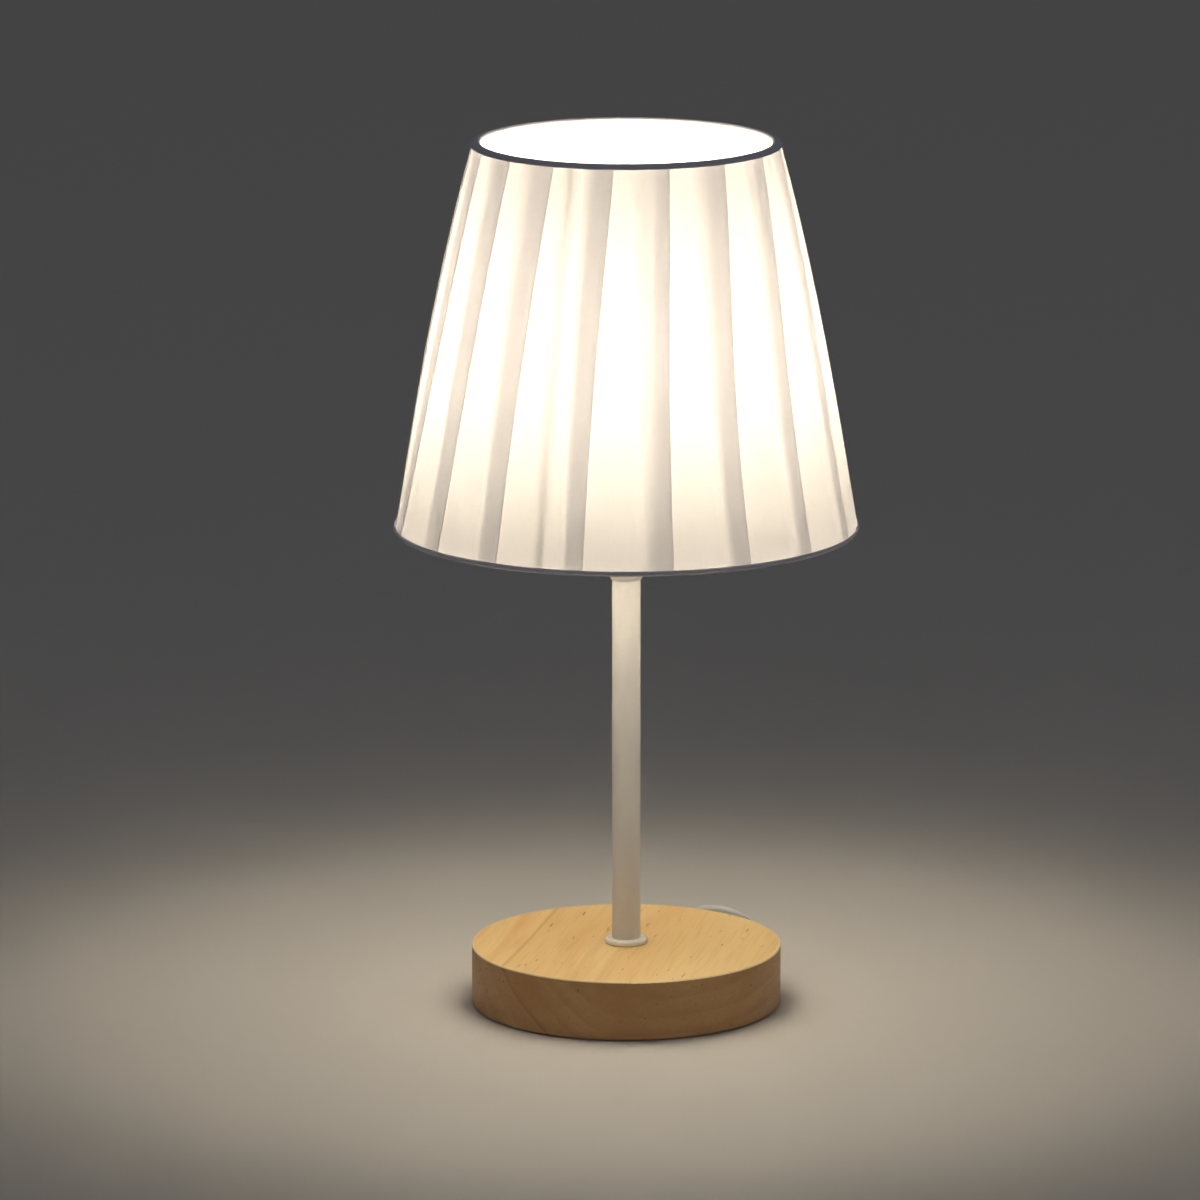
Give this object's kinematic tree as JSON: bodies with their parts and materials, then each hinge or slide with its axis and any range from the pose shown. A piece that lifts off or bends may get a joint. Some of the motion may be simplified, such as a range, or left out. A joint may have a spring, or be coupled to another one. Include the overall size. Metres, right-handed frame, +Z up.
{
  "type": "bedside lamp",
  "caption": "Bedside lamp: round wooden base, slim white post, lampholder with a rotary switch, and a conical pleated cloth shade that turns on its fitter.",
  "frame": {"origin": "centre of the base, on the surface the lamp stands on", "axes": "+Z up along the post, -Y to the front, cord leaving at the back"},
  "size_m": [0.2008, 0.2402, 0.3785],
  "materials": {
    "base_wood": "clear matt lacquer on pine",
    "felt": "dark felt",
    "weight_steel": "plain",
    "screw_steel": "zinc plated",
    "post_white": "satin white powder coat",
    "tube_zinc": "zinc plated, threaded",
    "holder_plastic": "satin white",
    "core_plastic": "matt off-white",
    "contact_brass": "plain",
    "knob_plastic": "satin white, fluted",
    "shaft_metal": "plain",
    "frame_wire": "white dipped wire",
    "liner_sheet": "translucent sheet",
    "pleated_cloth": "translucent pleated cloth",
    "trim_tape": "white woven tape",
    "bulb_glass": "opal",
    "bulb_filament": "glowing strips",
    "bulb_cap": "rolled screw cap",
    "bulb_contact": "tinned",
    "cord_sheath": "soft white sheath",
    "cord_fittings": "moulded white",
    "lead_insulation": "two leads",
    "tie_wire": "coated tie",
    "plug_brass": "plain"
  },
  "bodies": {
    "base": {"base_disc": "base_wood", "felt_pad": "felt", "base_weight": "weight_steel", "weight_screws": "screw_steel", "base_washer": "screw_steel", "base_lock_washer": "screw_steel", "base_nut": "screw_steel", "holder_nut": "screw_steel", "post": "post_white", "base_collar": "post_white", "lampholder_cup": "post_white", "threaded_tube": "tube_zinc", "lampholder_body": "holder_plastic", "lampholder_core": "core_plastic", "screw_shell": "contact_brass", "centre_contact": "contact_brass", "terminal_screws": "contact_brass", "power_cord": "cord_sheath", "cord_coil": "cord_sheath", "plug_cord": "cord_sheath", "inner_cord": "cord_sheath", "cord_gland": "cord_fittings", "plug_body": "cord_fittings", "inner_leads": "lead_insulation", "coil_tie": "tie_wire", "plug_blades": "plug_brass"},
    "shade": {"fitter_ring": "frame_wire", "fitter_arms": "frame_wire", "bottom_wire_ring": "frame_wire", "top_wire_ring": "frame_wire", "shade_liner": "liner_sheet", "pleated_cover": "pleated_cloth", "top_trim": "trim_tape", "bottom_trim": "trim_tape"},
    "shade_ring_body": {"shade_ring": "holder_plastic"},
    "bulb": {"bulb_globe": "bulb_glass", "bulb_stem": "bulb_glass", "bulb_filament": "bulb_filament", "bulb_cap": "bulb_cap", "cap_insulator": "core_plastic", "bulb_contact": "bulb_contact"},
    "switch": {"switch_knob": "knob_plastic", "switch_shaft": "shaft_metal", "switch_cam": "contact_brass"}
  },
  "joints": [
    {"name": "shade_turn", "type": "hinge", "parent": "base", "child": "shade", "pos_m": [0, 0, 0.2269], "axis": [0, 0, 1], "continuous": true},
    {"name": "ring_turn", "type": "hinge", "parent": "base", "child": "shade_ring_body", "pos_m": [0, 0, 0.2269], "axis": [0, 0, 1], "continuous": true},
    {"name": "bulb_turn", "type": "hinge", "parent": "base", "child": "bulb", "pos_m": [0, 0, 0.24], "axis": [0, 0, 1], "continuous": true},
    {"name": "switch_turn", "type": "hinge", "parent": "base", "child": "switch", "pos_m": [0.025, 0, 0.2139], "axis": [1, 0, 0], "continuous": true}
  ]
}
